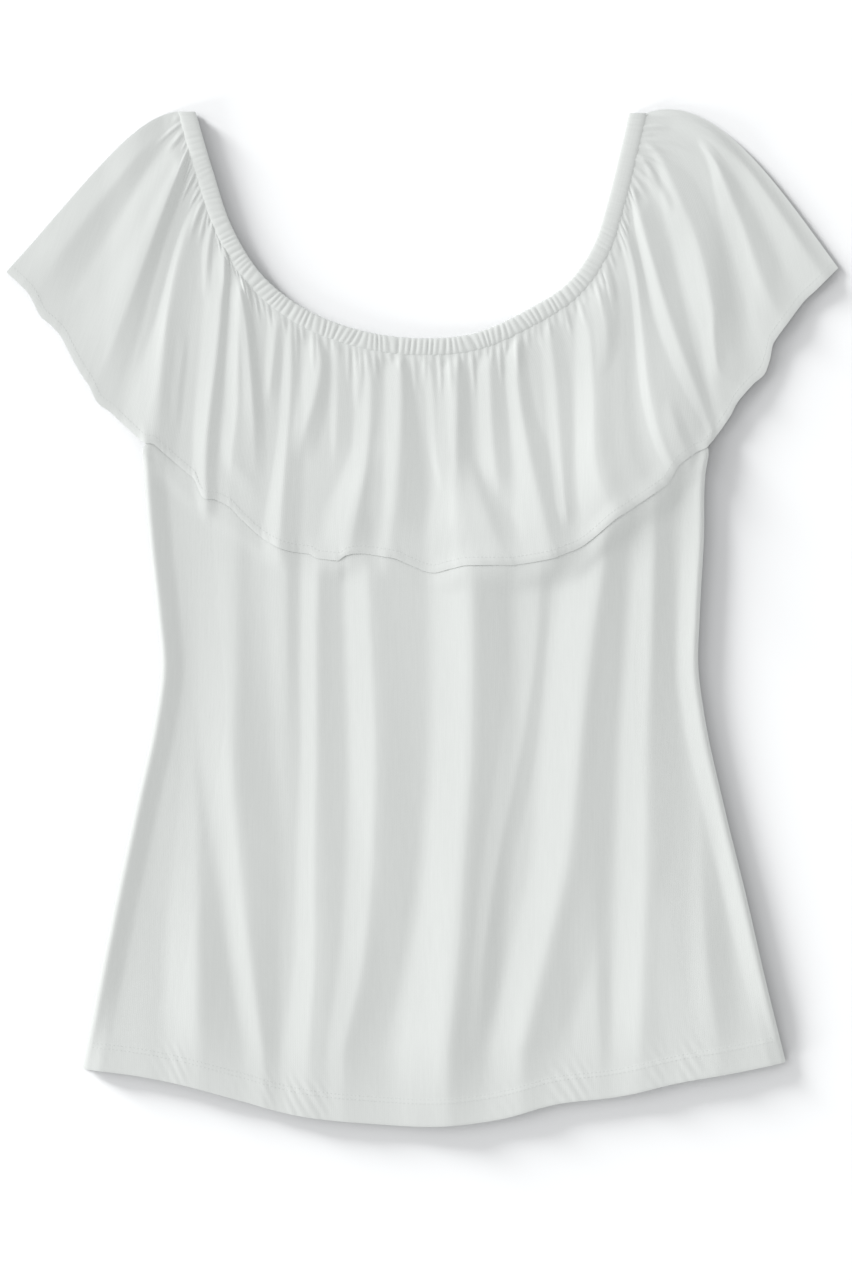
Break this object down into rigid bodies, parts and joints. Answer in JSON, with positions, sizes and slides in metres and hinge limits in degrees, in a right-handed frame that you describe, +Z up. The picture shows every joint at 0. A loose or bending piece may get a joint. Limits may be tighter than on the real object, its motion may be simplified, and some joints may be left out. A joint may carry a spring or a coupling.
{
  "type": "ruffled knit top, laid flat",
  "caption": "White jersey top with an elastic scooped neckline, a deep gathered ruffle over the shoulders and a softly flared body, laid flat face up.",
  "frame": {"origin": "middle of the footprint, on the table that the top lies on", "axes": "+Y from hem to neckline, +X to the right as seen from above, +Z up through the layers, towards the front of the garment"},
  "size_m": [0.6143, 0.7518, 0.0163],
  "materials": {
    "white_jersey": "matte fine knit"
  },
  "bodies": {
    "root": {"front_body": "white_jersey", "back_body": "white_jersey", "front_ruffle": "white_jersey", "back_ruffle": "white_jersey", "front_casing": "white_jersey", "back_casing": "white_jersey"}
  },
  "joints": []
}
